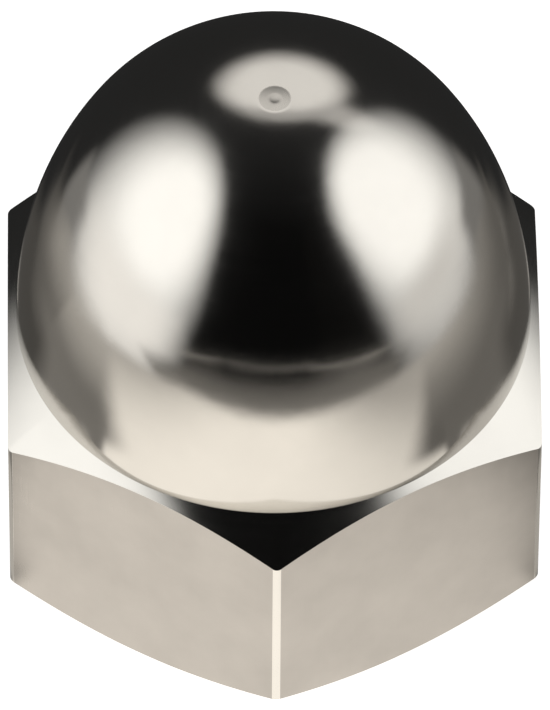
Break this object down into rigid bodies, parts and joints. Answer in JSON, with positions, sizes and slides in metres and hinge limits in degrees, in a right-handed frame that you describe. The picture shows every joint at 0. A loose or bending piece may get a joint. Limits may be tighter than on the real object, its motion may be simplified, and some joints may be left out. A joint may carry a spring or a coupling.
{
  "type": "cap nut",
  "caption": "Hexagon nut closed by a tall polished dome, tapped blind from below for a metric M8 thread.",
  "frame": {"origin": "centre of the flat bearing face", "axes": "+Z along the thread's axis towards the tip of the dome; one corner of the hexagon points along -Y, so two wrench flats face +X and -X"},
  "size_m": [0.013, 0.0148, 0.0146],
  "materials": {
    "polished_steel": "stainless steel: mirror-polished dome and chamfers, finely drawn wrench flats"
  },
  "bodies": {
    "root": {"cap_nut": "polished_steel"}
  },
  "joints": []
}
